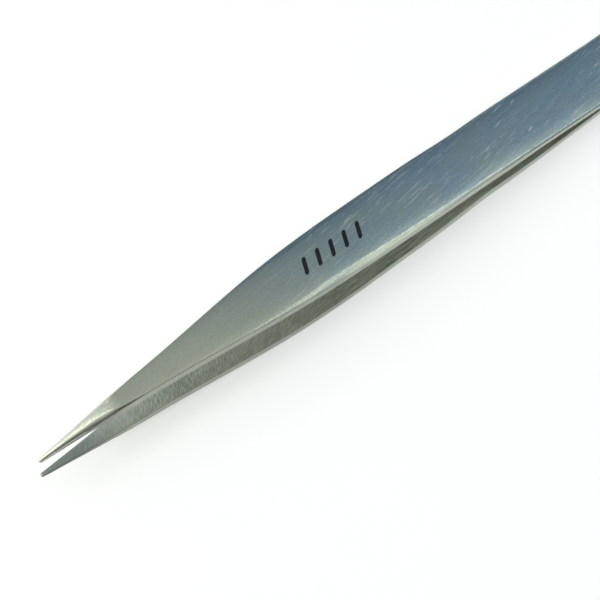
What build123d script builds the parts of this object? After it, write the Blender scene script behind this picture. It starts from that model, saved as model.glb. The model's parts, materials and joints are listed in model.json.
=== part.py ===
"""Precision tweezers: two bowed steel arms, spot welded back to back at the heel.

The tips point along -X, the width lies along Y and the jaws open along Z. The
tweezers lie as they do on a bench, on the heel's lower edge and the belly of the
lower arm, so the middle plane between the arms leans REST_TILT down to the heel.

Each arm is one springy strip on the bench. Here it is cut across in the middle of
its thinned spring zone, where it bends: the two heels are welded to each other,
and the two blades swing in from them until the tips meet. Units are millimetres.
"""

import os
from math import cos, radians, sin

from build123d import *

# Size of the whole tool. A station is a distance from the tips along the middle plane.
LENGTH = 120.0
HALF_WIDTH = 4.85
REST_TILT = 2.85

# Strip thickness: full stock in the blade, ground thinner where the arm bends
STOCK = 1.65
SPRING_STOCK = 1.2
RELIEF_START = 84.0
RELIEF_END = 88.0
EDGE_EASE = 0.2

# The straight rear stretch falls at this slope to the crotch, where it bends flat
SPRING_SLOPE = 0.072
CROTCH = 107.0
BEND_LENGTH = 2.0
HEEL_CORNER_RADIUS = 2.0

# Cut across the spring zone, between the heel and the moving blade
FLEXURE = 98.0
FLEXURE_GAP = 0.1

# Each section: station, half width, height of the outer face, thickness, and how far
# its outer edges are eased across the width and down the side
NEEDLE = [
    (0.0, 0.20, 2.82, 0.40, 0.15, 0.15),
    (0.15, 0.30, 2.88, 0.52, 0.25, 0.22),
    (3.0, 0.51, 3.35, 0.87, 0.46, 0.35),
    (6.5, 0.77, 3.83, 1.18, 0.72, 0.43),
    (10.0, 1.07, 4.26, 1.42, 1.02, 0.48),
    (13.5, 1.41, 4.42, 1.54, 1.34, 0.45),
    (16.0, 1.62, 4.45, 1.57, 0.70, 0.32),
]
SHOULDER = (18.0, 1.78, 4.48, 1.59, 0.32, 0.24)
BOWED = [
    (22.0, 2.10, 4.54, 1.62, EDGE_EASE, EDGE_EASE),
    (28.0, 2.70, 4.66, 1.64, EDGE_EASE, EDGE_EASE),
    (36.0, 3.56, 4.78, STOCK, EDGE_EASE, EDGE_EASE),
    (43.0, 4.25, 4.76, STOCK, EDGE_EASE, EDGE_EASE),
    (50.0, 4.67, 4.62, STOCK, EDGE_EASE, EDGE_EASE),
    (57.0, 4.82, 4.33, STOCK, EDGE_EASE, EDGE_EASE),
    (64.0, HALF_WIDTH, 3.98, STOCK, EDGE_EASE, EDGE_EASE),
    (74.0, HALF_WIDTH, 3.43, STOCK, EDGE_EASE, EDGE_EASE),
]

# Spot welds, in two rows of two
WELD_RADIUS = 0.9
WELD_DEPTH = 0.45
WELD_PITCH = 4.6
WELD_STATION = 113.6

# Middle plane between the arms, with its origin halfway along the tool
tilt = radians(REST_TILT)
lift = LENGTH / 2 * sin(tilt) + SPRING_STOCK * cos(tilt)
mid_plane = Plane(
    origin=(0, 0, lift),
    x_dir=(cos(tilt), 0, -sin(tilt)),
    z_dir=(sin(tilt), 0, cos(tilt)),
)
side_plane = Plane(origin=mid_plane.origin, x_dir=mid_plane.x_dir, z_dir=(0, -1, 0))


def along(station, height=0):
    """Point of a sketch on mid_plane or side_plane at a station."""
    return (station - LENGTH / 2, height)


def section_plane(station):
    """Plane square to the tool: its X is the tool's width, its Y the height."""
    origin = mid_plane.from_local_coords((station - LENGTH / 2, 0, 0))
    return Plane(origin=origin, x_dir=(0, 1, 0), z_dir=mid_plane.x_dir)


def spring_outer(station):
    """Height of the outer face on the straight stretch that falls to the crotch."""
    return SPRING_STOCK + SPRING_SLOPE * (CROTCH - station)


def arm_section(station, half_width, outer, thickness, across, down):
    """Section of an arm: a strip, flat inside, whose two outer edges are eased."""
    inner = outer - thickness
    side_top = outer - down
    flat_end = half_width - across
    with BuildSketch(section_plane(station)) as section:
        with BuildLine():
            Polyline(
                (-half_width, inner),
                (-half_width, side_top),
                (-flat_end, outer),
                (flat_end, outer),
                (half_width, side_top),
                (half_width, inner),
                close=True,
            )
        make_face()
    return section.sketch


def rear_section(station, thickness):
    """Section of an arm on the straight stretch that falls to the crotch."""
    return arm_section(
        station, HALF_WIDTH, spring_outer(station), thickness, EDGE_EASE, EDGE_EASE
    )


# Upper blade: the moving length of the upper arm, from the tip to the flexure cut
with BuildPart() as upper_blade:
    loft([arm_section(*section) for section in NEEDLE + [SHOULDER]], ruled=True)
    bowed = [arm_section(*section) for section in [SHOULDER] + BOWED]
    loft(bowed + [rear_section(RELIEF_START, STOCK)])
    relief_end = rear_section(RELIEF_END, SPRING_STOCK)
    loft([rear_section(RELIEF_START, STOCK), relief_end], ruled=True)
    loft([relief_end, rear_section(FLEXURE - FLEXURE_GAP / 2, SPRING_STOCK)], ruled=True)
upper_blade.part.label = "upper_blade"

# Upper heel: the rear of the upper arm, bent flat at the crotch and welded to the lower
heel_start = FLEXURE + FLEXURE_GAP / 2
bend_start = CROTCH - BEND_LENGTH / 2
bend_end = CROTCH + BEND_LENGTH / 2

with BuildPart() as upper_heel:
    with BuildSketch(side_plane):
        with BuildLine():
            start = along(heel_start, spring_outer(heel_start))
            bend = along(bend_start, spring_outer(bend_start))
            flat = along(bend_end, SPRING_STOCK)
            Line(start, bend)
            Spline(bend, flat, tangents=[(1, -SPRING_SLOPE), (1, 0)])
            Polyline(flat, along(LENGTH, SPRING_STOCK), along(LENGTH), along(bend_end))
            inner_bend = along(bend_start, spring_outer(bend_start) - SPRING_STOCK)
            inner_start = along(heel_start, spring_outer(heel_start) - SPRING_STOCK)
            Spline(along(bend_end), inner_bend, tangents=[(-1, 0), (-1, SPRING_SLOPE)])
            Polyline(inner_bend, inner_start, start)
        make_face()
    extrude(amount=HALF_WIDTH, both=True)
    end_edges = upper_heel.faces().sort_by(Axis.X)[-1].edges()
    fillet(end_edges.filter_by(Axis.Y, reverse=True), radius=HEEL_CORNER_RADIUS)
    with BuildSketch(mid_plane):
        with Locations(along(WELD_STATION)):
            with GridLocations(WELD_PITCH, WELD_PITCH, 2, 2):
                Circle(WELD_RADIUS)
    extrude(amount=WELD_DEPTH, mode=Mode.SUBTRACT)
upper_heel.part.label = "upper_heel"

# Lower arm: the same two lengths, mirrored in the middle plane
with BuildPart() as lower_blade:
    mirror(upper_blade.part, about=mid_plane)
lower_blade.part.label = "lower_blade"

with BuildPart() as lower_heel:
    mirror(upper_heel.part, about=mid_plane)
lower_heel.part.label = "lower_heel"

# Spot welds: nuggets of fused steel buried in both heels
with BuildPart() as spot_welds:
    with BuildSketch(mid_plane):
        with Locations(along(WELD_STATION)):
            with GridLocations(WELD_PITCH, WELD_PITCH, 2, 2):
                Circle(WELD_RADIUS)
    extrude(amount=WELD_DEPTH, both=True)
spot_welds.part.label = "spot_welds"

os.makedirs("parts", exist_ok=True)
export_step(upper_blade.part, "parts/upper_blade.step")
export_step(lower_blade.part, "parts/lower_blade.step")
export_step(upper_heel.part, "parts/upper_heel.step")
export_step(lower_heel.part, "parts/lower_heel.step")
export_step(spot_welds.part, "parts/spot_welds.step")
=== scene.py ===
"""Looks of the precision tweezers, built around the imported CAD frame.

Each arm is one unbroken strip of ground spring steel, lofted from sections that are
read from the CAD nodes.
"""

import json
import math

import bmesh
import bpy
import numpy as np
from mathutils import Matrix, Vector


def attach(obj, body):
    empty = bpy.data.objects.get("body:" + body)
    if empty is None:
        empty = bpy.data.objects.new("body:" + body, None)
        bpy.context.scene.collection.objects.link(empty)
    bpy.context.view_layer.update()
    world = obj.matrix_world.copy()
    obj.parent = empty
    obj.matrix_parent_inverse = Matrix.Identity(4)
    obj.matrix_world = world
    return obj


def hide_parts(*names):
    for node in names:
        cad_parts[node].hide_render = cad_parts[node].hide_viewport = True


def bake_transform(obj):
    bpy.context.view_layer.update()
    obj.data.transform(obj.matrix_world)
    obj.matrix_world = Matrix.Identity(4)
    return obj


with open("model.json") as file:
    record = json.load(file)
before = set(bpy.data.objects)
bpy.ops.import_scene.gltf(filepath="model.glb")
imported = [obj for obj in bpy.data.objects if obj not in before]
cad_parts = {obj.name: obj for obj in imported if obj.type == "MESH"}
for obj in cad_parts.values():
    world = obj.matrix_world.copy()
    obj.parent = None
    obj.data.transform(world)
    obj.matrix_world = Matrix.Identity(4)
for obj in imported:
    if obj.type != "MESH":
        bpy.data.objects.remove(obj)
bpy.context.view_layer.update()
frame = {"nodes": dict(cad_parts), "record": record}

MM = 0.001

# ---------------------------------------------------------------- tool axes

joints = {joint["name"]: joint for joint in frame["record"]["behaviour"]["joints"]}
upper_hinge = Vector(joints["upper_arm_flex"]["pos_m"])
lower_hinge = Vector(joints["lower_arm_flex"]["pos_m"])
OPENING = (upper_hinge - lower_hinge).normalized()
ACROSS = Vector((0, 1, 0))
ALONG = ACROSS.cross(OPENING)
AXES = np.array([ALONG, ACROSS, OPENING])


def node_points(name):
    """Corners and edges of a CAD node, the corners in metres in the row frame."""
    mesh = frame["nodes"][name].data
    corners = np.array([vertex.co for vertex in mesh.vertices])
    edges = np.array([edge.vertices[:] for edge in mesh.edges])
    return corners, edges


tip_corners = node_points("upper_blade")[0]
heel_corners = node_points("upper_heel")[0]
middle = np.array((upper_hinge + lower_hinge) / 2)
first = ((tip_corners - middle) @ AXES[0]).min()
last = ((heel_corners - middle) @ AXES[0]).max()
ORIGIN = middle + AXES[0] * first
LENGTH = (last - first) / MM


def to_tool(points):
    """Row frame metres to tool millimetres: station from the tips, across, height."""
    return (points - ORIGIN) @ AXES.T / MM


def to_row(points):
    """Tool millimetres to row frame metres."""
    return np.asarray(points) * MM @ AXES + ORIGIN


# ---------------------------------------------------------------- CAD sections

SAMPLE = 0.5
HEEL_MARGIN = 2.5


def read_section(nodes, station):
    """Half width, outer and inner height of the upper arm, cut square at a station."""
    for name in nodes:
        corners, edges = cad[name]
        start = corners[edges[:, 0]]
        end = corners[edges[:, 1]]
        crossing = (start[:, 0] - station) * (end[:, 0] - station) < 0
        if crossing.any():
            start = start[crossing]
            end = end[crossing]
            share = (station - start[:, 0]) / (end[:, 0] - start[:, 0])
            cut = start + (end - start) * share[:, None]
            return cut[:, 1].max(), cut[:, 2].max(), cut[:, 2].min()
    return None


cad = {}
for name in ("upper_blade", "upper_heel"):
    points, edges = node_points(name)
    cad[name] = (to_tool(points), edges)

stations = np.arange(SAMPLE, LENGTH - HEEL_MARGIN, SAMPLE)
sections = [read_section(cad, station) for station in stations]
known = [(s, *section) for s, section in zip(stations, sections) if section]
# The taper runs on past the first section to the tip
before_first = [2 * near - far for near, far in zip(known[0], known[1])]
PROFILE = np.array([before_first, *known])


def smooth(values, reach):
    """Moving average that keeps the ends, to take the facets out of a CAD outline."""
    kernel = np.hanning(2 * reach + 1)[1:-1]
    padded = np.pad(values, reach - 1, mode="reflect", reflect_type="odd")
    return np.convolve(padded, kernel / kernel.sum(), mode="valid")


# Reaches in samples: the width and the needle keep their form, the bow is fair, and the
# strip thins gradually on its inner face before it bends
STATIONS, WIDTHS, OUTER_HEIGHTS, INNER_HEIGHTS = PROFILE.T
bowed = (STATIONS > 24) & (STATIONS < 103)
thinned = (STATIONS > 66) & (STATIONS < 98)
WIDTHS = smooth(WIDTHS, 6)
OUTER_HEIGHTS = np.where(bowed, smooth(OUTER_HEIGHTS, 16), smooth(OUTER_HEIGHTS, 4))
INNER_HEIGHTS = np.where(thinned, smooth(INNER_HEIGHTS, 16), INNER_HEIGHTS)


def half_width(station):
    return np.interp(station, STATIONS, WIDTHS)


def outer_height(station):
    return np.interp(station, STATIONS, OUTER_HEIGHTS)


def inner_height(station):
    return np.interp(station, STATIONS, INNER_HEIGHTS)


# By station: how far the outer edges are eased across the face and down the side, and
# the tilts in degrees between which the easing turns: a full round, or nearly a bevel
EASING = np.array(
    [
        (0.0, 0.26, 0.22, 0, 60),
        (3.0, 0.48, 0.36, 0, 52),
        (6.5, 0.74, 0.44, 0, 50),
        (10.0, 1.04, 0.49, 0, 50),
        (12.2, 0.96, 0.46, 0, 52),
        (13.6, 0.42, 0.38, 26, 58),
        (16.0, 0.26, 0.27, 26, 62),
        (18.5, 0.20, 0.20, 0, 70),
        (36.0, 0.24, 0.20, 0, 80),
        (43.0, 0.60, 0.30, 0, 62),
        (50.0, 1.10, 0.44, 0, 52),
        (57.0, 0.85, 0.36, 6, 48),
        (64.0, 0.60, 0.30, 18, 40),
        (74.0, 0.45, 0.22, 18, 36),
        (86.0, 0.32, 0.18, 18, 45),
        (120.0, 0.20, 0.16, 10, 60),
    ]
)
FULL_HALF_WIDTH = 4.85
CROWN = 0.22
CROWN_ROUND = 0.35
INNER_EDGE = 0.05
HEEL_CORNER = 2.0
TIP_NOSE = 0.3
TIP_CENTRE = 0.45

# Share of the easing's height above which a point is on the outer face
ON_THE_FACE = 0.999

# Points around a section
FACE_POINTS = 64
ROUND_POINTS = 9
SIDE_POINTS = 4
INNER_POINTS = 16

WELD_STATION = 113.6
WELD_PITCH = 4.6
WELD_RADIUS = 1.0
WELD_DEPTH = 0.07
WELD_RIM = 0.012

# The marks' wall and rim, as shares of WELD_RADIUS
BOWL_RADIUS = 0.93
BOWL_STEEPNESS = 22
RIM_RADIUS = 1.12
RIM_SPREAD = 0.12


def easing(station, width):
    """Points of the eased far edge, as (out from the flat, up from the side), and its size."""
    across, down, first_tilt, last_tilt = (
        np.interp(station, EASING[:, 0], EASING[:, column]) for column in (1, 2, 3, 4)
    )
    first_tilt = math.radians(first_tilt)
    last_tilt = math.radians(last_tilt)
    out_size = math.sin(last_tilt) - math.sin(first_tilt)
    up_size = math.cos(first_tilt) - math.cos(last_tilt)
    across = min(across, width - 0.01)
    points = []
    for step in range(1, ROUND_POINTS + 1):
        turn = last_tilt + (first_tilt - last_tilt) * step / (ROUND_POINTS + 1)
        out = (math.sin(turn) - math.sin(first_tilt)) / out_size
        up = (math.cos(turn) - math.cos(last_tilt)) / up_size
        points.append((out * across, up * down))
    return across, down, points


def weld_places():
    """Station and across of each spot weld: two rows of two."""
    for side_x in (-0.5, 0.5):
        for side_y in (-0.5, 0.5):
            yield WELD_STATION + side_x * WELD_PITCH, side_y * WELD_PITCH


def crown_fall(width, across):
    """How far the slightly crowned outer face has dropped, most of it near the edges."""
    share = min(abs(across) / width, 1.0)
    bow = CROWN_ROUND * share**2 + (1 - CROWN_ROUND) * share**4
    return CROWN * (width / FULL_HALF_WIDTH) ** 2 * bow


def face_surface(station, across):
    """Height of the upper arm's outer face, crown included."""
    return outer_height(station) - crown_fall(half_width(station), across)


def weld_floor():
    """Height of the flat floor of the electrode marks."""
    return face_surface(WELD_STATION, WELD_PITCH / 2) - WELD_DEPTH


def dimple(station, across, height):
    """Height of the outer face, pressed flat and rimmed where the electrodes marked it."""
    for weld_station, weld_across in weld_places():
        radius = math.hypot(station - weld_station, across - weld_across) / WELD_RADIUS
        if radius < 2:
            bowl = 1 / (1 + math.exp((radius - BOWL_RADIUS) * BOWL_STEEPNESS))
            rim = math.exp(-(((radius - RIM_RADIUS) / RIM_SPREAD) ** 2))
            height += (weld_floor() - height) * bowl + WELD_RIM * rim
    return height


def arm_ring(station):
    """Closed section of the upper arm as (across, height): inner face, side, outer face, side."""
    nose = 1.0
    if station < TIP_NOSE:
        nose = math.sqrt(1 - (1 - station / TIP_NOSE) ** 2)
    width = half_width(station) * nose
    from_end = LENGTH - station
    if from_end < HEEL_CORNER:
        width -= HEEL_CORNER - math.sqrt(HEEL_CORNER**2 - (HEEL_CORNER - from_end) ** 2)
    outer = outer_height(station)
    inner = inner_height(station)
    centre = inner + (outer - inner) * TIP_CENTRE
    outer = centre + (outer - centre) * nose
    inner = centre + (inner - centre) * nose
    across, down, corner = easing(station, width / nose)
    across *= nose
    down *= nose
    flat = width - across
    edge = INNER_EDGE * nose
    side_top = outer - down
    eased = [(flat + out * nose, side_top + up * nose) for out, up in corner]
    points = []
    for step in range(INNER_POINTS):
        share = step / (INNER_POINTS - 1)
        points.append((-(width - edge) + 2 * (width - edge) * share, inner))
    for step in range(SIDE_POINTS):
        share = step / (SIDE_POINTS - 1)
        points.append((width, inner + edge + (side_top - inner - edge) * share))
    points += eased
    for step in range(FACE_POINTS):
        share = step / (FACE_POINTS - 1)
        points.append((flat - 2 * flat * share, outer))
    points += [(-y, z) for y, z in reversed(eased)]
    for step in range(SIDE_POINTS):
        share = 1 - step / (SIDE_POINTS - 1)
        points.append((-width, inner + edge + (side_top - inner - edge) * share))
    crowned = []
    for y, z in points:
        lift = min(max(z - side_top, 0) / down, 1.0)
        z -= crown_fall(width, y) * lift
        if lift > ON_THE_FACE:
            z = dimple(station, y, z)
        crowned.append((y, z))
    return crowned


# ---------------------------------------------------------------- arms

END_RINGS = 9

# First station, last station and pitch of the rings: needle, bow, and heel with its marks
RING_SPANS = ((TIP_NOSE, 22, 0.35), (22, 107, 0.8), (107, 118, 0.16))


def station_list():
    """Stations of the rings: fine at the points, along the needle and at the heel."""
    found = []
    for step in range(1, END_RINGS + 1):
        found.append(TIP_NOSE * (1 - math.cos(math.pi / 2 * step / END_RINGS)))
    for start, stop, pitch in RING_SPANS:
        count = round((stop - start) / pitch)
        found.extend(start + (stop - start) * (step + 1) / count for step in range(count))
    for step in range(1, END_RINGS + 1):
        turn = math.pi / 2 * step / END_RINGS
        found.append(LENGTH - HEEL_CORNER + HEEL_CORNER * math.sin(turn))
    return sorted(found)


# Material slots of an arm
OUTER, SIDE, INNER = range(3)


def ring_materials():
    """Material index of each strip of faces around a ring: inner, side or outer."""
    found = [INNER] * (INNER_POINTS - 1) + [SIDE] * (SIDE_POINTS + 1)
    found += [OUTER] * (2 * ROUND_POINTS + FACE_POINTS)
    found += [SIDE] * (SIDE_POINTS + 1)
    return found


def edge_marks(index):
    """Whether a ring point is on the crest of an outer edge, and whether it is on its easing."""
    first_side = INNER_POINTS + SIDE_POINTS - 1
    first_face = first_side + ROUND_POINTS + 1
    last_face = first_face + FACE_POINTS - 1
    last_side = last_face + ROUND_POINTS + 1
    crest = float(index in (first_face, last_face))
    eased = float(first_side <= index <= first_face or last_face <= index <= last_side)
    return crest, eased


SHARP_ANGLE = math.radians(38)


def build_arm(name, flip):
    """One arm as a closed mesh. flip is 1 for the upper arm and -1 for its mirror image."""
    stations = station_list()
    rings = [arm_ring(station) for station in stations]
    size = len(rings[0])
    points = []
    strip = []
    crest = []
    eased = []
    for station, ring in zip(stations, rings):
        for index, (y, z) in enumerate(ring):
            points.append((station, y, z * flip))
            strip.append((station, y, z))
            for marks, value in zip((crest, eased), edge_marks(index)):
                marks.append(value)
    faces = []
    zones = []
    around = ring_materials()
    for ring_index in range(len(rings) - 1):
        for index in range(size):
            near = ring_index * size + index
            beside = ring_index * size + (index + 1) % size
            faces.append((near, near + size, beside + size, beside))
            zones.append(around[index])
    for ring_index, turn in ((0, 1), (len(rings) - 1, -1)):
        start = ring_index * size
        faces.append(tuple(range(start, start + size))[::turn])
        zones.append(SIDE)
    if flip > 0:
        faces = [face[::-1] for face in faces]
    mesh = bpy.data.meshes.new(name)
    mesh.from_pydata([tuple(point) for point in to_row(points)], [], faces)
    for attribute_name, kind, values in (
        ("strip", "FLOAT_VECTOR", strip),
        ("crest", "FLOAT", crest),
        ("eased", "FLOAT", eased),
    ):
        attribute = mesh.attributes.new(attribute_name, kind, "POINT")
        field = "vector" if kind == "FLOAT_VECTOR" else "value"
        attribute.data.foreach_set(field, np.array(values, dtype=np.float32).ravel())
    mesh.polygons.foreach_set("material_index", zones)
    mesh.shade_smooth()
    mesh.set_sharp_from_angle(angle=SHARP_ANGLE)
    mesh.validate()
    arm = bpy.data.objects.new(name, mesh)
    bpy.context.scene.collection.objects.link(arm)
    return arm


# ---------------------------------------------------------------- node helpers


class Nodes:
    """Short names for the nodes that the materials below are wired from."""

    def __init__(self, tree):
        self.tree = tree

    def make(self, kind, **settings):
        node = self.tree.nodes.new(kind)
        for key, value in settings.items():
            setattr(node, key, value)
        return node

    def plug(self, socket, value):
        """A socket takes a link from another node's output, or a plain value."""
        if isinstance(value, bpy.types.NodeSocket):
            self.tree.links.new(value, socket)
        else:
            socket.default_value = value

    def math(self, operation, a, b=0.0, clamp=False):
        node = self.make("ShaderNodeMath", operation=operation, use_clamp=clamp)
        self.plug(node.inputs[0], a)
        self.plug(node.inputs[1], b)
        return node.outputs[0]

    def step(self, value, low, high):
        """Smooth step from 0 at low to 1 at high."""
        node = self.make("ShaderNodeMapRange", interpolation_type="SMOOTHSTEP")
        self.plug(node.inputs["Value"], value)
        node.inputs["From Min"].default_value = low
        node.inputs["From Max"].default_value = high
        return node.outputs["Result"]

    def blend(self, share, a, b):
        node = self.make("ShaderNodeMix", data_type="RGBA")
        self.plug(node.inputs["Factor"], share)
        for socket, colour in ((node.inputs["A"], a), (node.inputs["B"], b)):
            if isinstance(colour, tuple):
                colour = (*colour, 1.0)
            self.plug(socket, colour)
        return node.outputs["Result"]

    def lerp(self, share, a, b):
        node = self.make("ShaderNodeMix", data_type="FLOAT")
        self.plug(node.inputs["Factor"], share)
        self.plug(node.inputs["A"], a)
        self.plug(node.inputs["B"], b)
        return node.outputs["Result"]

    def stretched(self, vector, scale, turn=0.0):
        """vector in mm turned in the face's plane and scaled to cycles per mm."""
        turned = self.make("ShaderNodeVectorRotate", rotation_type="Z_AXIS")
        self.plug(turned.inputs["Vector"], vector)
        turned.inputs["Angle"].default_value = math.radians(turn)
        scaled = self.make("ShaderNodeVectorMath", operation="MULTIPLY")
        self.plug(scaled.inputs[0], turned.outputs["Vector"])
        scaled.inputs[1].default_value = scale
        return scaled.outputs["Vector"]

    def noise(self, vector, scale, turn=0.0, detail=3.0, roughness=0.55):
        node = self.make("ShaderNodeTexNoise")
        self.plug(node.inputs["Vector"], self.stretched(vector, scale, turn))
        node.inputs["Scale"].default_value = 1.0
        node.inputs["Detail"].default_value = detail
        node.inputs["Roughness"].default_value = roughness
        return node.outputs["Fac"]

    def bump(self, height, distance):
        """Normal bent by a height field, whose full range is distance in mm."""
        node = self.make("ShaderNodeBump")
        self.plug(node.inputs["Height"], height)
        node.inputs["Distance"].default_value = distance * MM
        return node.outputs["Normal"]

    def strip_vector(self):
        node = self.make("ShaderNodeAttribute", attribute_name="strip")
        return node.outputs["Vector"]

    def amount(self, name):
        node = self.make("ShaderNodeAttribute", attribute_name=name)
        return node.outputs["Fac"]

    def parts(self, vector):
        node = self.make("ShaderNodeSeparateXYZ")
        self.plug(node.inputs[0], vector)
        return node.outputs


def new_material(name, preview, roughness):
    """A material with one Principled shader, and the Nodes to wire it with."""
    material = bpy.data.materials.new(name)
    material.use_nodes = True
    material.diffuse_color = (*preview, 1.0)
    material.roughness = roughness
    shader = material.node_tree.nodes["Principled BSDF"]
    return material, shader, Nodes(material.node_tree)


# ---------------------------------------------------------------- colours

# Outer face: in front, towards the heel a bluer painted reflection, stained, at the point a
# near-white painted highlight, scratched, and worn along the edge crests, where wear and a painted
# highlight mix
FACE_DARK = (0.39, 0.40, 0.335)
FACE_LIGHT = (0.625, 0.63, 0.54)
HEEL_REFLECTION_DARK = (0.19, 0.275, 0.345)
HEEL_REFLECTION_LIGHT = (0.575, 0.65, 0.705)
STAIN = (0.48, 0.505, 0.43)
POINT_HIGHLIGHT_DARK = (0.70, 0.71, 0.64)
POINT_HIGHLIGHT_LIGHT = (0.97, 0.98, 0.90)
SCRATCH = (0.85, 0.87, 0.85)
EASED = (0.50, 0.52, 0.43)
WEAR_AND_HIGHLIGHT = (0.95, 0.96, 0.90)

# Sides: in front, a painted shade beside the needle, and polished towards the heel
SIDE_DARK = (0.25, 0.265, 0.23)
SIDE_LIGHT = (0.46, 0.49, 0.42)
SIDE_SHADE = (0.13, 0.135, 0.12)
POLISHED_DARK = (0.35, 0.375, 0.315)
POLISHED = (0.58, 0.61, 0.52)

# Inner face, with a painted shade towards the points and painted light towards the heel
INNER_SHADE = (0.22, 0.23, 0.20)
INNER_DARK = (0.34, 0.36, 0.31)
INNER_LIGHT = (0.84, 0.86, 0.78)
STROKE_AND_PAINTED_LIGHT = (0.97, 0.97, 0.92)

# Welds and ink
WELD_GREY = (0.40, 0.40, 0.39)
WELD_STRAW = (0.47, 0.44, 0.37)
INK = (0.008, 0.008, 0.012)
INK_THIN = (0.03, 0.032, 0.036)

# Floor
FLOOR = (0.88, 0.85, 0.86)
FLOOR_LIGHT = (0.90, 0.87, 0.88)
FLOOR_GLOW = 0.4
FLOOR_SIZE = 3.0


# ---------------------------------------------------------------- materials


def face_steel():
    """Outer face: satin, brushed lengthwise toward the heel and cross-ground at the point."""
    material, shader, n = new_material("arm_steel_face", (0.6, 0.6, 0.58), 0.3)
    strip = n.strip_vector()
    station = n.parts(strip)["X"]

    rearward = n.step(station, 26.0, 62.0)
    needle = n.math("SUBTRACT", 1.0, n.step(station, 13.0, 18.5))

    cloud = n.noise(strip, (0.16, 0.35, 0.3), detail=4.0)
    fine_brush = n.noise(strip, (0.35, 14.0, 6.0), turn=-4.0, detail=4.0, roughness=0.65)
    long_streak = n.noise(strip, (0.06, 2.4, 1.5), turn=-6.0, detail=5.0, roughness=0.7)
    cross_grind = n.noise(strip, (9.0, 0.9, 0.9), turn=32.0, detail=3.0)
    speckle = n.noise(strip, (3.4, 4.4, 4.0), detail=5.0, roughness=0.75)

    streaks = n.math("SUBTRACT", long_streak, 0.5)
    brushed = n.math("SUBTRACT", fine_brush, 0.5)
    grain = n.math("SUBTRACT", speckle, 0.5)
    ground = n.math("MULTIPLY", n.math("SUBTRACT", cross_grind, 0.5), needle)

    # Scratches: the thin crests of a noise drawn out along the strip
    crest = n.noise(strip, (0.15, 7.0, 2.0), turn=-9.0, detail=2.0, roughness=0.4)
    scratch = n.math("MULTIPLY", n.step(crest, 0.63, 0.74), rearward)
    stray = n.noise(strip, (0.32, 4.6, 2.0), turn=-17.0, detail=1.0, roughness=0.3)
    stray = n.math("MULTIPLY", n.step(stray, 0.735, 0.76), n.step(station, 40.0, 60.0))
    scratches = n.math("ADD", scratch, stray, clamp=True)

    tone = n.math("MULTIPLY", streaks, n.lerp(rearward, 1.1, 1.3))
    tone = n.math("ADD", tone, n.math("MULTIPLY", brushed, n.lerp(rearward, 1.3, 0.9)))
    tone = n.math("ADD", tone, n.math("MULTIPLY", grain, n.lerp(rearward, 2.8, 1.7)))
    tone = n.math("ADD", tone, n.math("MULTIPLY", n.math("SUBTRACT", cloud, 0.5), 0.30))
    tone = n.math("ADD", tone, n.math("MULTIPLY", ground, 0.5))
    tone = n.math("ADD", tone, 0.5, clamp=True)
    colour = n.blend(tone, FACE_DARK, FACE_LIGHT)
    # Painted reflection: the outer face takes a bluer colour towards the heel
    heel_reflection = n.blend(tone, HEEL_REFLECTION_DARK, HEEL_REFLECTION_LIGHT)
    colour = n.blend(n.math("MULTIPLY", rearward, 0.55), colour, heel_reflection)
    stain = n.noise(strip, (0.13, 0.42, 0.4), turn=-8.0, detail=4.0, roughness=0.6)
    stain = n.math("MULTIPLY", n.step(stain, 0.42, 0.62), rearward)
    colour = n.blend(n.math("MULTIPLY", stain, 0.5), colour, STAIN)
    # Painted highlight: towards the point the outer face is painted near white, for the ground
    # cone's bright reflection
    point = n.math("SUBTRACT", 1.0, n.step(station, 11.0, 14.5))
    point_highlight = n.blend(tone, POINT_HIGHLIGHT_DARK, POINT_HIGHLIGHT_LIGHT)
    colour = n.blend(n.math("MULTIPLY", point, 0.8), colour, point_highlight)
    colour = n.blend(n.math("MULTIPLY", scratches, 0.55), colour, SCRATCH)
    polished = n.math("MULTIPLY", n.amount("eased"), n.step(station, 50.0, 62.0))
    colour = n.blend(n.math("MULTIPLY", polished, 0.8), colour, EASED)
    # Wear and painted highlight: near-white nicks along the edge crests, partly real wear, partly
    # the bright line that the edges catch
    wear_and_highlight = n.math("MULTIPLY", n.amount("crest"), n.step(station, 46.0, 60.0))
    nick = n.noise(strip, (1.1, 1.6, 3.0), detail=4.0, roughness=0.7)
    wear_and_highlight = n.math("MULTIPLY", wear_and_highlight, n.step(nick, 0.36, 0.56))
    colour = n.blend(n.math("MULTIPLY", wear_and_highlight, 0.9), colour, WEAR_AND_HIGHLIGHT)

    rough = n.math("MULTIPLY", n.math("SUBTRACT", 0.5, tone), 0.16)
    rough = n.math("ADD", rough, n.lerp(rearward, 0.31, 0.27))
    rough = n.math("ADD", rough, n.math("MULTIPLY", scratches, 0.12), clamp=True)

    relief = n.math("MULTIPLY", brushed, n.lerp(rearward, 0.7, 1.0))
    relief = n.math("ADD", relief, n.math("MULTIPLY", streaks, n.lerp(rearward, 0.6, 1.1)))
    relief = n.math("ADD", relief, n.math("MULTIPLY", ground, 1.6))
    relief = n.math("ADD", relief, n.math("MULTIPLY", grain, 0.3))
    relief = n.math("SUBTRACT", relief, n.math("MULTIPLY", scratches, 0.8))
    n.plug(shader.inputs["Base Color"], colour)
    n.plug(shader.inputs["Roughness"], rough)
    n.plug(shader.inputs["Normal"], n.bump(relief, 0.006))
    shader.inputs["Metallic"].default_value = 1.0
    return material


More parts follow.
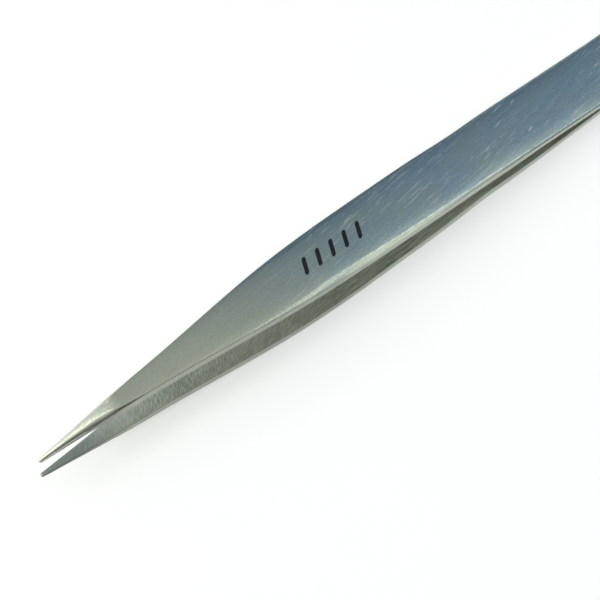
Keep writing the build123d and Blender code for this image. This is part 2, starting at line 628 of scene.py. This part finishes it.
def side_steel():
    """Edges of the strip: brighter, ground lengthwise on a fine belt."""
    material, shader, n = new_material("arm_steel_side", (0.66, 0.66, 0.62), 0.34)
    strip = n.strip_vector()
    belt = n.noise(strip, (0.4, 3.0, 16.0), detail=4.0, roughness=0.65)
    patch = n.noise(strip, (0.55, 0.5, 1.2), detail=4.0)
    tone = n.math("MULTIPLY", n.math("SUBTRACT", belt, 0.5), 0.7)
    tone = n.math("ADD", tone, n.math("MULTIPLY", n.math("SUBTRACT", patch, 0.5), 0.8))
    tone = n.math("ADD", tone, 0.5, clamp=True)
    colour = n.blend(tone, SIDE_DARK, SIDE_LIGHT)
    station = n.parts(strip)["X"]
    colour = n.blend(n.step(station, 52.0, 64.0), colour, n.blend(tone, POLISHED_DARK, POLISHED))
    # Painted shade: the sides are darkened towards the points
    colour = n.blend(n.math("MULTIPLY", n.step(station, 18.0, 5.0), 0.92), colour, SIDE_SHADE)
    n.plug(shader.inputs["Base Color"], colour)
    rough = n.math("ADD", n.math("MULTIPLY", n.math("SUBTRACT", 0.5, tone), 0.2), 0.36)
    n.plug(shader.inputs["Roughness"], rough)
    n.plug(shader.inputs["Normal"], n.bump(belt, 0.006))
    shader.inputs["Metallic"].default_value = 1.0
    return material


def inner_steel():
    """Inner face: darker, left from the coarse wheel, which swings round along the arm."""
    material, shader, n = new_material("arm_steel_inner", (0.4, 0.4, 0.36), 0.4)
    strip = n.strip_vector()
    station = n.parts(strip)["X"]
    crosswise = n.noise(strip, (6.8, 0.9, 1.0), turn=26.0, detail=5.0, roughness=0.7)
    diagonal = n.noise(strip, (8.0, 0.6, 1.0), turn=70.0, detail=5.0, roughness=0.7)
    lengthwise = n.noise(strip, (0.3, 6.5, 1.0), detail=5.0, roughness=0.7)
    grind = n.lerp(n.step(station, 30.0, 38.0), crosswise, diagonal)
    grind = n.lerp(n.step(station, 46.0, 56.0), grind, lengthwise)
    cloud = n.noise(strip, (0.22, 0.4, 0.4), detail=4.0)
    cluster = n.step(n.noise(strip, (0.5, 0.55, 1.0), detail=2.0), 0.42, 0.6)
    behind_needle = n.step(station, 13.0, 22.0)
    stroke = n.math("MULTIPLY", n.step(grind, 0.57, 0.65), cluster)
    stroke = n.math("MULTIPLY", stroke, behind_needle)
    strength = n.lerp(behind_needle, 1.6, 3.2)
    strength = n.lerp(n.step(station, 40.0, 50.0), strength, 4.4)
    tone = n.math("MULTIPLY", n.math("SUBTRACT", grind, 0.5), strength)
    tone = n.math("ADD", tone, n.math("MULTIPLY", n.math("SUBTRACT", cloud, 0.5), 0.6))
    tone = n.math("ADD", tone, 0.42, clamp=True)
    colour = n.blend(tone, INNER_DARK, INNER_LIGHT)
    # Painted light: the inner face is lightened towards the heel, where the narrow gap between the
    # arms shades it
    colour = n.blend(n.math("MULTIPLY", n.step(station, 60.0, 78.0), 0.3), colour, STROKE_AND_PAINTED_LIGHT)
    colour = n.blend(n.math("MULTIPLY", stroke, 0.9), colour, STROKE_AND_PAINTED_LIGHT)
    # Painted shade: the inner face is darkened towards the points
    colour = n.blend(n.math("MULTIPLY", n.step(station, 16.0, 3.0), 0.55), colour, INNER_SHADE)
    n.plug(shader.inputs["Base Color"], colour)
    rough = n.math("SUBTRACT", 0.42, n.math("MULTIPLY", tone, 0.12))
    n.plug(shader.inputs["Roughness"], rough)
    n.plug(shader.inputs["Normal"], n.bump(grind, 0.03))
    shader.inputs["Metallic"].default_value = 1.0
    return material


def weld_steel():
    """Ends of the spot welds: dull, with the rings that the electrodes press in."""
    material, shader, n = new_material("weld_steel", (0.38, 0.36, 0.33), 0.5)
    place = n.make("ShaderNodeTexCoord").outputs["Object"]
    rough = n.make("ShaderNodeTexNoise")
    n.plug(rough.inputs["Vector"], place)
    rough.inputs["Scale"].default_value = 2600.0
    rough.inputs["Detail"].default_value = 5.0
    tint = n.make("ShaderNodeTexNoise")
    n.plug(tint.inputs["Vector"], place)
    tint.inputs["Scale"].default_value = 700.0
    tint.inputs["Detail"].default_value = 3.0
    share = n.step(tint.outputs["Fac"], 0.35, 0.65)
    n.plug(shader.inputs["Base Color"], n.blend(share, WELD_GREY, WELD_STRAW))
    n.plug(shader.inputs["Roughness"], n.lerp(rough.outputs["Fac"], 0.32, 0.6))
    n.plug(shader.inputs["Normal"], n.bump(rough.outputs["Fac"], 0.01))
    shader.inputs["Metallic"].default_value = 1.0
    return material


def mark_ink():
    """Printed ink: near black and matt, a little thin in places."""
    material, shader, n = new_material("mark_ink", (0.02, 0.02, 0.025), 0.6)
    place = n.make("ShaderNodeTexCoord").outputs["Object"]
    thin = n.make("ShaderNodeTexNoise")
    n.plug(thin.inputs["Vector"], place)
    thin.inputs["Scale"].default_value = 3500.0
    thin.inputs["Detail"].default_value = 4.0
    share = n.step(thin.outputs["Fac"], 0.52, 0.75)
    n.plug(shader.inputs["Base Color"], n.blend(share, INK, INK_THIN))
    n.plug(shader.inputs["Roughness"], n.lerp(thin.outputs["Fac"], 0.45, 0.75))
    n.plug(shader.inputs["Normal"], n.bump(thin.outputs["Fac"], 0.004))
    shader.inputs["Specular IOR Level"].default_value = 0.3
    return material


# ---------------------------------------------------------------- pieces

steel = [face_steel(), side_steel(), inner_steel()]

for side, flip in (("upper", 1), ("lower", -1)):
    arm = build_arm(f"{side}_arm_strip", flip)
    for material in steel:
        arm.data.materials.append(material)
    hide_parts(f"{side}_blade", f"{side}_heel")
    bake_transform(arm)


def revolve(mesh, centre, outline, segments):
    """Adds a closed solid of revolution about the opening direction to a bmesh."""
    rings = []
    for radius, height in outline:
        ring = []
        for step in range(segments):
            turn = 2 * math.pi * step / segments
            point = (
                centre[0] + radius * math.cos(turn),
                centre[1] + radius * math.sin(turn),
                height,
            )
            ring.append(mesh.verts.new(to_row(point)))
        rings.append(ring)
    for below, above in zip(rings, rings[1:]):
        for index in range(segments):
            beside = (index + 1) % segments
            mesh.faces.new((below[index], below[beside], above[beside], above[index]))
    mesh.faces.new(rings[0][::-1])
    mesh.faces.new(rings[-1])


def object_from(mesh, name, material):
    """Turns a finished bmesh into a smooth-shaded object with one material."""
    data = bpy.data.meshes.new(name)
    mesh.to_mesh(data)
    mesh.free()
    data.materials.append(material)
    data.shade_smooth()
    data.set_sharp_from_angle(angle=SHARP_ANGLE)
    made = bpy.data.objects.new(name, data)
    bpy.context.scene.collection.objects.link(made)
    return made


NUGGET_RADIUS = 0.9
NUGGET_WAIST = 0.15
NUGGET_SEGMENTS = 40

# Spot welds: nuggets through both strips, whose ends show at the bottom of the dimples
nugget = bmesh.new()
floor_z = weld_floor()

# Radius and height over the floor: a pressed cap, a groove round it, a ring and its foot
end_rings = (
    (0.0001, 0.016),
    (0.26, 0.014),
    (0.31, 0.004),
    (0.40, 0.004),
    (0.46, 0.015),
    (0.68, 0.011),
    (0.76, 0.0),
    (0.78, -0.3),
)
outline = [(radius, floor_z + proud) for radius, proud in end_rings]
outline.append((NUGGET_RADIUS, NUGGET_WAIST))
outline = [(radius, -z) for radius, z in outline] + outline[::-1]
for place in weld_places():
    revolve(nugget, place, outline, NUGGET_SEGMENTS)
welds = object_from(nugget, "spot_weld_nuggets", weld_steel())
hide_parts("spot_welds")
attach(welds, "heel")


# Printed mark: a plain row of equal slanted strokes
MARK_STATION = 53.8
MARK_ACROSS = 0.18
MARK_STROKES = 5
MARK_PITCH = 2.5
STROKE_HEIGHT = 2.7
STROKE_LEAN = 1.2
STROKE_WIDTH = 0.72
INK_THICKNESS = 0.012
STROKE_ROWS = 28
STROKE_COLUMNS = 6
STROKE_TIP = 0.12

mark = bmesh.new()
for number in range(MARK_STROKES):
    middle_station = MARK_STATION + (number - (MARK_STROKES - 1) / 2) * MARK_PITCH
    low_rows = []
    top_rows = []
    for row in range(STROKE_ROWS + 1):
        share = row / STROKE_ROWS * 2 - 1
        from_end = (1 - abs(share)) * STROKE_HEIGHT / 2
        radius = STROKE_WIDTH / 2
        reach = radius
        if from_end < radius:
            reach = math.sqrt(max(radius**2 - (radius - from_end) ** 2, (STROKE_TIP * radius) ** 2))
        low = []
        top = []
        for column in range(STROKE_COLUMNS + 1):
            offset = (column / STROKE_COLUMNS * 2 - 1) * reach
            y = MARK_ACROSS + share * STROKE_HEIGHT / 2
            s = middle_station + share * STROKE_LEAN / 2 + offset
            height = face_surface(s, y)
            low.append(mark.verts.new(to_row((s, y, height - INK_THICKNESS))))
            top.append(mark.verts.new(to_row((s, y, height + INK_THICKNESS))))
        low_rows.append(low)
        top_rows.append(top)
    for row in range(STROKE_ROWS):
        for column in range(STROKE_COLUMNS):
            a, b = top_rows[row][column : column + 2]
            d, c = top_rows[row + 1][column : column + 2]
            mark.faces.new((a, b, c, d))
            a, b = low_rows[row][column : column + 2]
            d, c = low_rows[row + 1][column : column + 2]
            mark.faces.new((d, c, b, a))
        for column, turn in ((0, 1), (STROKE_COLUMNS, -1)):
            low_a = low_rows[row][column]
            low_b = low_rows[row + 1][column]
            top_a = top_rows[row][column]
            top_b = top_rows[row + 1][column]
            mark.faces.new((low_a, top_a, top_b, low_b)[::turn])
    for row, turn in ((0, 1), (STROKE_ROWS, -1)):
        for column in range(STROKE_COLUMNS):
            low_a, low_b = low_rows[row][column : column + 2]
            top_a, top_b = top_rows[row][column : column + 2]
            mark.faces.new((low_a, low_b, top_b, top_a)[::turn])
printed = object_from(mark, "printed_mark", mark_ink())
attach(printed, "upper_arm")


# ---------------------------------------------------------------- floor, light, camera


def pale_floor():
    material, shader, n = new_material("floor_paper", (0.9, 0.9, 0.9), 0.9)
    place = n.make("ShaderNodeTexCoord").outputs["Object"]
    fibre = n.make("ShaderNodeTexNoise")
    n.plug(fibre.inputs["Vector"], place)
    fibre.inputs["Scale"].default_value = 60.0
    n.plug(shader.inputs["Base Color"], n.blend(fibre.outputs["Fac"], FLOOR, FLOOR_LIGHT))
    shader.inputs["Roughness"].default_value = 0.95
    shader.inputs["Emission Color"].default_value = (1, 1, 1, 1)
    shader.inputs["Emission Strength"].default_value = FLOOR_GLOW
    return material



sheet = bmesh.new()
bmesh.ops.create_grid(sheet, x_segments=8, y_segments=8, size=FLOOR_SIZE / 2)
floor = object_from(sheet, "floor", pale_floor())

# Surroundings: pale towards the tips, bluer towards the heel, deeper blue behind, and
# dark low in front, which the needle's near flank reflects
world = bpy.data.worlds.new("studio")
bpy.context.scene.world = world
world.use_nodes = True
sky = Nodes(world.node_tree)
background = world.node_tree.nodes["Background"]
direction = sky.parts(sky.make("ShaderNodeTexCoord").outputs["Generated"])
to_heel = sky.step(direction["X"], 0.18, 0.6)
far_side = sky.step(direction["Y"], 0.25, 0.6)
to_far = sky.math("MULTIPLY", far_side, sky.step(direction["X"], 0.0, 0.25))
near_side = sky.step(direction["Y"], -0.3, -0.6)
near_and_low = sky.math("MULTIPLY", near_side, sky.step(direction["Z"], 0.9, 0.62))
near_and_low = sky.math("MULTIPLY", near_and_low, sky.step(direction["X"], 0.34, 0.12))
dome = sky.blend(to_heel, (0.38, 0.41, 0.335), (0.24, 0.39, 0.58))
dome = sky.blend(to_far, dome, (0.13, 0.20, 0.29))
dome = sky.blend(near_and_low, dome, (0.05, 0.05, 0.05))
sky.plug(background.inputs["Color"], dome)
background.inputs["Strength"].default_value = 1.0

# Middle of the view
AIM = Vector(to_row((46.16, -1.93, 0.0)))


def soft_box(name, towards, distance, size, radiance, colour=(1, 1, 1), spin=0.0):
    """Area light, square to its direction from the view's middle, its width near X, then spun."""
    light = bpy.data.lights.new(name, "AREA")
    light.shape = "RECTANGLE"
    light.size, light.size_y = size
    light.energy = radiance * math.pi * size[0] * size[1]
    light.color = colour
    outward = Vector(towards).normalized()
    width = Vector((0, 1, 0)).cross(outward).normalized()
    turned = Matrix((width, outward.cross(width), outward)).transposed().to_4x4()
    turned = turned @ Matrix.Rotation(math.radians(spin), 4, "Z")
    lamp = bpy.data.objects.new(name, light)
    lamp.matrix_world = Matrix.Translation(AIM + outward * distance) @ turned
    bpy.context.scene.collection.objects.link(lamp)


soft_box("overhead_box", (-0.28, 0.33, 0.9), 0.7, (0.5, 0.8), 1.12, (1.0, 1.0, 0.93), spin=24)
soft_box("far_box", (-0.25, 0.84, 0.5), 0.7, (0.36, 0.42), 1.15, (1.0, 1.0, 0.93))
soft_box("near_box", (0.44, -0.17, 0.88), 0.7, (0.28, 0.46), 1.0, (1.0, 0.99, 0.80))
soft_box("left_box", (-0.85, 0.05, 0.42), 0.8, (0.5, 0.4), 1.6)

CAMERA_AZIMUTH = math.radians(-34.278)
CAMERA_ELEVATION = math.radians(65.388)
CAMERA_ROLL = math.radians(-4.582)
CAMERA_DISTANCE = 0.5
LENS_MM = 203.8
SENSOR_MM = 36.0

back = Vector(
    (
        math.sin(CAMERA_AZIMUTH) * math.cos(CAMERA_ELEVATION),
        -math.cos(CAMERA_AZIMUTH) * math.cos(CAMERA_ELEVATION),
        math.sin(CAMERA_ELEVATION),
    )
)
level_right = Vector((math.cos(CAMERA_AZIMUTH), math.sin(CAMERA_AZIMUTH), 0))
level_up = back.cross(level_right)
right = level_right * math.cos(CAMERA_ROLL) + level_up * math.sin(CAMERA_ROLL)
up = back.cross(right)

lens = bpy.data.cameras.new("camera")
lens.lens = LENS_MM
lens.sensor_width = SENSOR_MM
lens.clip_start = 0.01
camera = bpy.data.objects.new("camera", lens)
camera.matrix_world = Matrix.Translation(AIM + back * CAMERA_DISTANCE) @ (
    Matrix((right, up, back)).transposed().to_4x4()
)
bpy.context.scene.collection.objects.link(camera)
bpy.context.scene.camera = camera
bpy.context.scene.view_settings.view_transform = "Standard"
